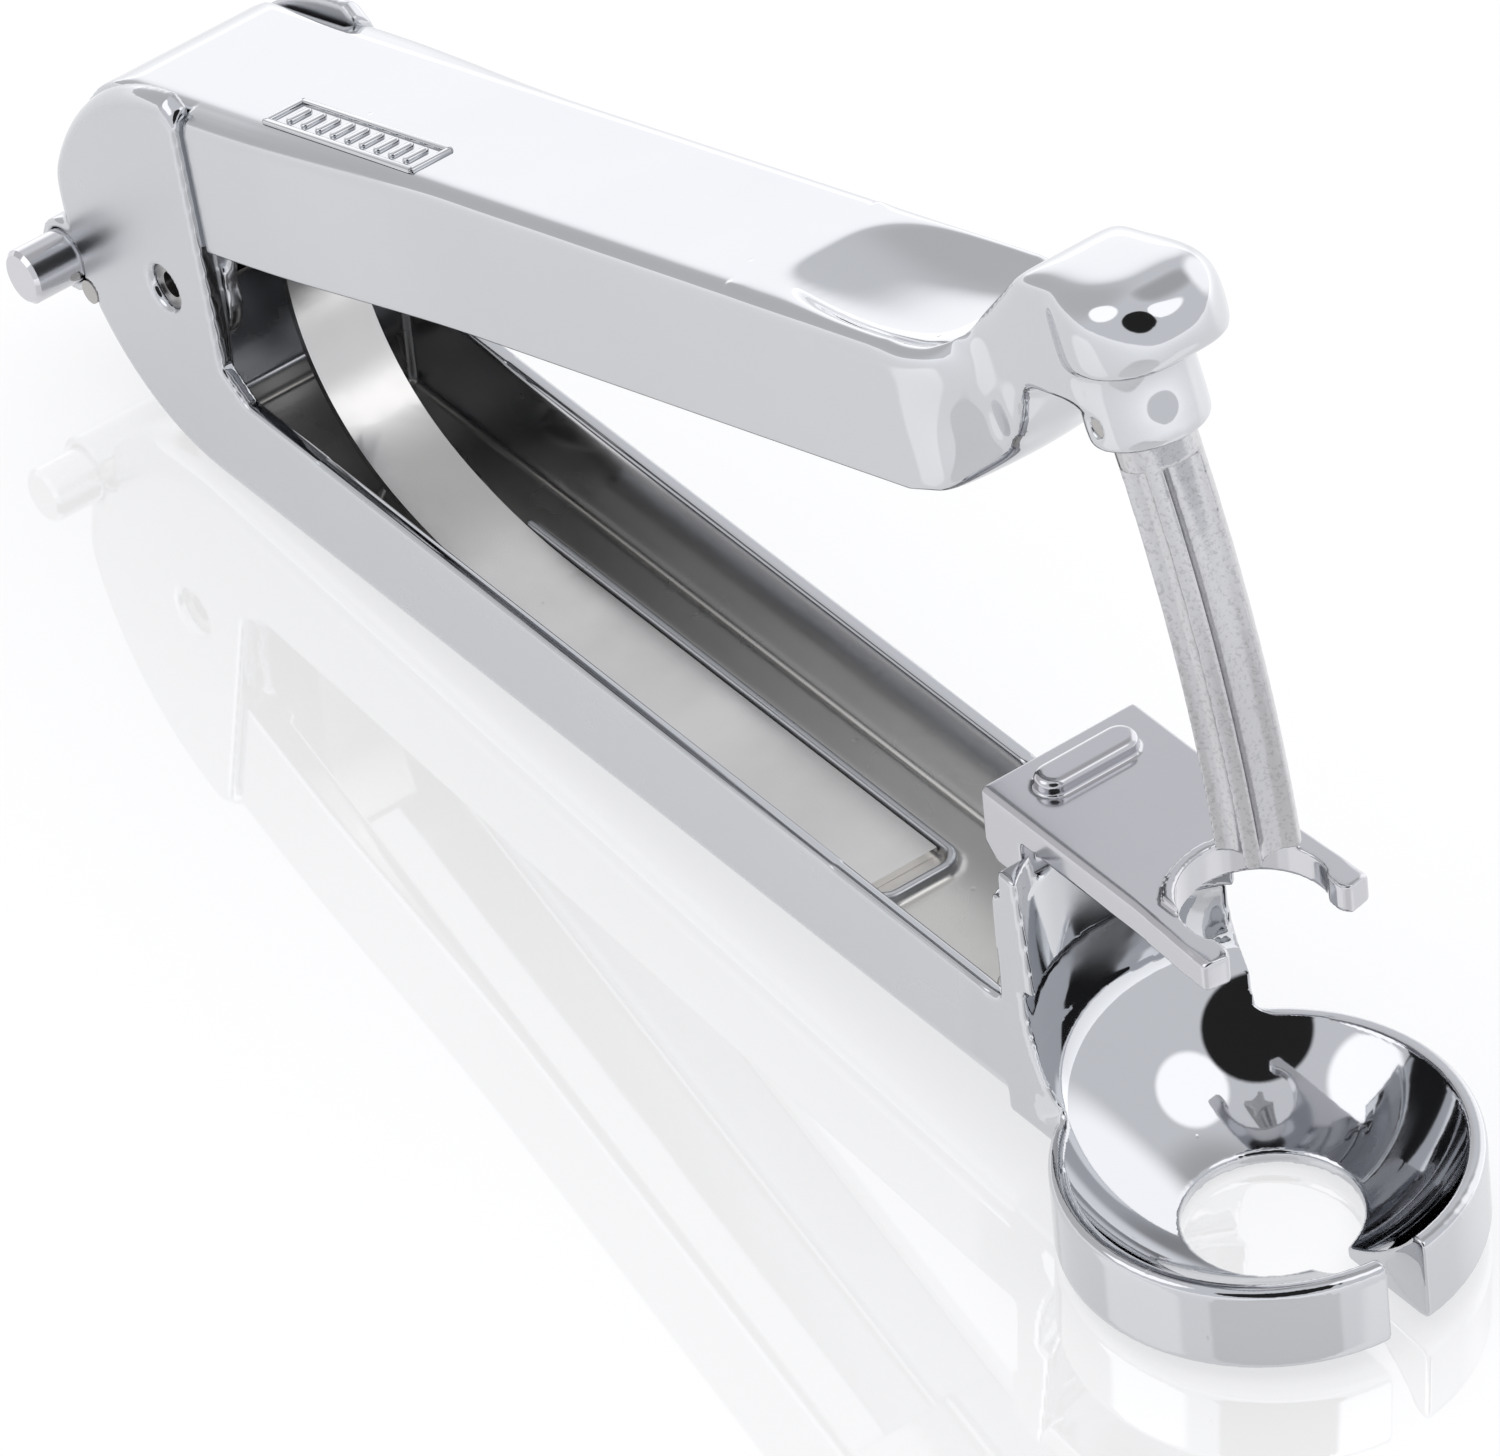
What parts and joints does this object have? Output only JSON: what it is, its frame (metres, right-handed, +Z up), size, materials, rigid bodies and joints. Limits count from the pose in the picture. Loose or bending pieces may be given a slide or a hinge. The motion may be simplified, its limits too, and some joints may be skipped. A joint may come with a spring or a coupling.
{
  "type": "cherry and olive pitter",
  "caption": "Hand-held squeeze tool: two hinged cast handles, a fluted punch, a slotted cup and a slide-off stripper fork push the stone out of a cherry or olive.",
  "frame": {"origin": "on the surface the tool lies on, under the middle of the whole tool", "axes": "+X along the tool from the hinge to the cup, +Y across it to the side away from the lock pin's head, +Z up; the tool is open and lies on the cup's rear edge and the heel of the bottom handle, which pitches the bottom handle up by 2.8 degrees towards the cup"},
  "size_m": [0.1696, 0.0352, 0.0943],
  "materials": {
    "chrome_casting": "mirror chrome plate on a zinc die casting",
    "chrome_fork": "chrome plate, slightly satin top",
    "bare_casting": "tumbled casting with fine grain",
    "pin_steel": "ground steel",
    "lock_steel": "turned and plated",
    "spring_steel": "bright rolled strip"
  },
  "bodies": {
    "lower": {"lower_handle": "chrome_casting", "hinge_pin": "pin_steel", "stop_pin": "pin_steel", "leaf_spring": "spring_steel"},
    "upper": {"upper_handle": "chrome_casting", "punch": "bare_casting", "punch_pin": "pin_steel"},
    "lock": {"lock_pin": "lock_steel"},
    "fork": {"stripper": "chrome_fork"}
  },
  "joints": [
    {"name": "handle_hinge", "type": "hinge", "parent": "lower", "child": "upper", "pos_m": [-0.06667, 0, 0.01816], "axis": [0, 1, 0], "range_deg": [0, 14.4], "stiffness_Nm_per_rad": 1.5, "springref_deg": -20.05, "deforming": ["leaf_spring"]},
    {"name": "lock_slide", "type": "slide", "parent": "lower", "child": "lock", "axis": [0, 1, 0], "range_m": [0, 0.0046]},
    {"name": "fork_slide", "type": "slide", "parent": "lower", "child": "fork", "axis": [-0.9988, 0, -0.0492], "range_m": [0, 0.008]}
  ]
}
